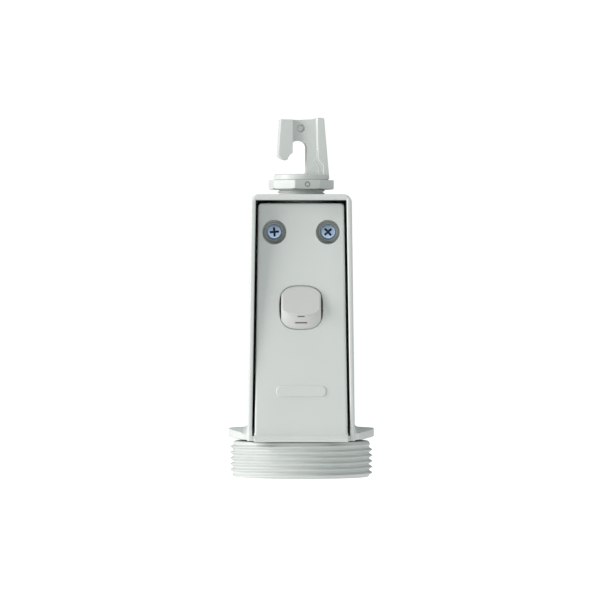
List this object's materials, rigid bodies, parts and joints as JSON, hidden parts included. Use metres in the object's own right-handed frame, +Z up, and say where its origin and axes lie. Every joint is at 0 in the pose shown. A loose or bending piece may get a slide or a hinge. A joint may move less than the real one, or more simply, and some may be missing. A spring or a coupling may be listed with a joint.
{
  "type": "pendant switched socket outlet",
  "caption": "Hook-hung tapered housing with a rocker switch in its tilted front plate and a threaded collar round a three-pin socket.",
  "frame": {"origin": "on the axis of the threaded collar, in the plane of its bottom rim", "axes": "+Z up along the collar's and the hook spigot's common axis; the front plate faces -Y; +X to the viewer's right"},
  "size_m": [0.0768, 0.0768, 0.1888],
  "materials": {
    "shell_plastic": "fine-grained satin moulding, pale grey",
    "inner_plastic": "plain moulded, cream",
    "zinc_screw": "bright blue zinc plate",
    "brass": "stamped and tumbled",
    "gasket_rubber": "matt",
    "spring_steel": "drawn wire",
    "wire_insulation": "satin insulation, brown"
  },
  "bodies": {
    "housing": {"rear_housing": "shell_plastic", "front_plate": "shell_plastic", "thread_collar": "shell_plastic", "socket_insert": "inner_plastic", "switch_body": "inner_plastic", "cord_clamp_bar": "inner_plastic", "plate_screw_left": "zinc_screw", "plate_screw_right": "zinc_screw", "clamp_screw_left": "zinc_screw", "clamp_screw_right": "zinc_screw", "collar_screw_1": "zinc_screw", "collar_screw_2": "zinc_screw", "collar_screw_3": "zinc_screw", "collar_screw_4": "zinc_screw", "active_contact_screw": "zinc_screw", "neutral_contact_screw": "zinc_screw", "earth_contact_screw": "zinc_screw", "common_terminal_screw": "zinc_screw", "load_terminal_screw": "zinc_screw", "switch_screw_lower": "zinc_screw", "switch_screw_upper": "zinc_screw", "plate_insert_left": "brass", "plate_insert_right": "brass", "active_contact": "brass", "neutral_contact": "brass", "earth_contact": "brass", "common_terminal": "brass", "load_terminal": "brass", "collar_gasket": "gasket_rubber", "link_wire": "wire_insulation"},
    "hook": {"hanger_hook": "shell_plastic"},
    "nut": {"locknut": "shell_plastic"},
    "rocker": {"rocker": "shell_plastic", "rocker_plunger": "inner_plastic", "plunger_spring": "spring_steel"},
    "seesaw": {"contact_bar": "brass"}
  },
  "joints": [
    {"name": "hook_turn", "type": "hinge", "parent": "housing", "child": "hook", "pos_m": [0, 0, 0.148], "axis": [0, 0, 1], "range_deg": [-180, 180]},
    {"name": "locknut_travel", "type": "slide", "parent": "hook", "child": "nut", "axis": [0, 0, 1], "range_m": [-0.003, 0]},
    {"name": "rocker_pivot", "type": "hinge", "parent": "housing", "child": "rocker", "pos_m": [0, -0.01899, 0.08818], "axis": [1, 0, 0], "range_deg": [0, 26]},
    {"name": "contact_bar_pivot", "type": "hinge", "parent": "housing", "child": "seesaw", "pos_m": [0, -0.00952, 0.08744], "axis": [1, 0, 0], "range_deg": [-12, 0]}
  ],
  "couplings": [
    {"joint": "contact_bar_pivot", "follows": "rocker_pivot", "ratio": -0.46154}
  ]
}
